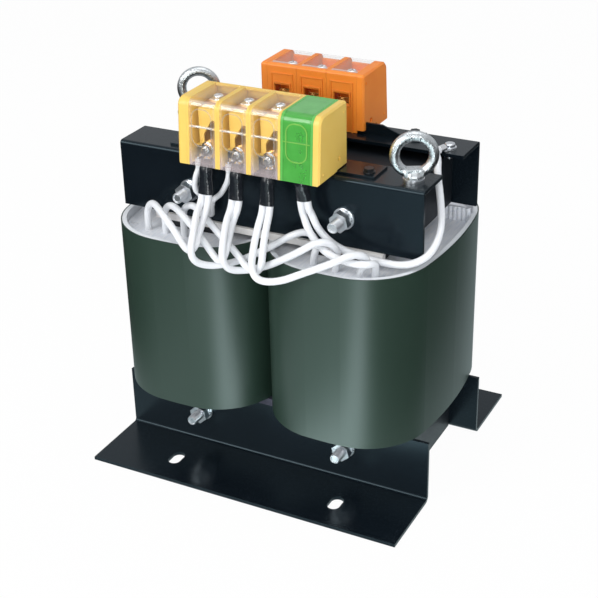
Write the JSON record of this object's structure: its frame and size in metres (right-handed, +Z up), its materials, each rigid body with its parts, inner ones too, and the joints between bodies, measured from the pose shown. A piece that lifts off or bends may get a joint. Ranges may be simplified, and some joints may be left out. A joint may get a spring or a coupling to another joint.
{
  "type": "step-down transformer",
  "caption": "Open dry step-down transformer with wrapped coils on a laminated core between folded angles, lifting eyes and terminal blocks with clear covers.",
  "frame": {"origin": "on the floor, at the centre of the mounting slots", "axes": "+X along the base angles from one coil to the other, the front with the leads is -Y, +Z up"},
  "size_m": [0.3224, 0.28, 0.3675],
  "materials": {
    "clamp_paint": "gloss",
    "black_zinc": "satin",
    "lamination": "matte",
    "coil_wrap": "satin",
    "duct_liner": "matte",
    "end_insulation": "matte",
    "insulation_strip": "matte",
    "winding": "enamelled",
    "pressboard": "matte",
    "zinc": "bright zinc",
    "forged_zinc": "bright zinc",
    "yellow_moulding": "satin",
    "green_moulding": "satin",
    "orange_moulding": "satin",
    "clear_cover": "clear polycarbonate",
    "green_cover": "clear green polycarbonate",
    "tinned_bar": "tinned",
    "sleeve": "satin",
    "lead": "satin"
  },
  "bodies": {
    "root": {"bracket_screws": "black_zinc", "clear_covers": "clear_cover", "core_bolt_nuts": "zinc", "core_bolt_spring_washers": "zinc", "core_bolt_tubes": "pressboard", "core_bolt_washers": "zinc", "core_bolts": "zinc", "earth_lead": "lead", "earth_lead_2": "lead", "earth_pole_cover": "green_cover", "earth_pole_housing": "green_moulding", "earth_screw": "zinc", "eye_bolt_nuts": "zinc", "eye_bolt_washers": "zinc", "front_base_angle": "clamp_paint", "front_end_plates": "yellow_moulding", "front_pole_housings": "yellow_moulding", "front_terminal_bracket": "black_zinc", "front_top_clamp": "clamp_paint", "insulation_strips": "insulation_strip", "jumper_cap": "lead", "jumper_left": "lead", "jumper_right": "lead", "lead_lugs": "tinned_bar", "lead_sleeves": "sleeve", "left_coil_former": "pressboard", "left_coil_wrap": "coil_wrap", "left_duct_liner": "duct_liner", "left_end_insulation": "end_insulation", "left_eye_bolt": "forged_zinc", "left_inner_winding": "winding", "left_lead_1": "lead", "left_lead_2": "lead", "left_lead_3": "lead", "left_leg": "lamination", "left_outer_winding": "winding", "left_winding_barrier": "pressboard", "lower_yoke": "lamination", "rear_base_angle": "clamp_paint", "rear_end_plates": "orange_moulding", "rear_pole_housings": "orange_moulding", "rear_terminal_bracket": "black_zinc", "rear_top_clamp": "clamp_paint", "right_coil_former": "pressboard", "right_coil_wrap": "coil_wrap", "right_duct_liner": "duct_liner", "right_end_insulation": "end_insulation", "right_eye_bolt": "forged_zinc", "right_inner_winding": "winding", "right_lead_1": "lead", "right_lead_2": "lead", "right_lead_3": "lead", "right_leg": "lamination", "right_outer_winding": "winding", "right_winding_barrier": "pressboard", "terminal_bars": "tinned_bar", "terminal_bolts": "zinc", "terminal_nuts": "zinc", "terminal_screws": "zinc", "upper_yoke": "lamination"}
  },
  "joints": []
}
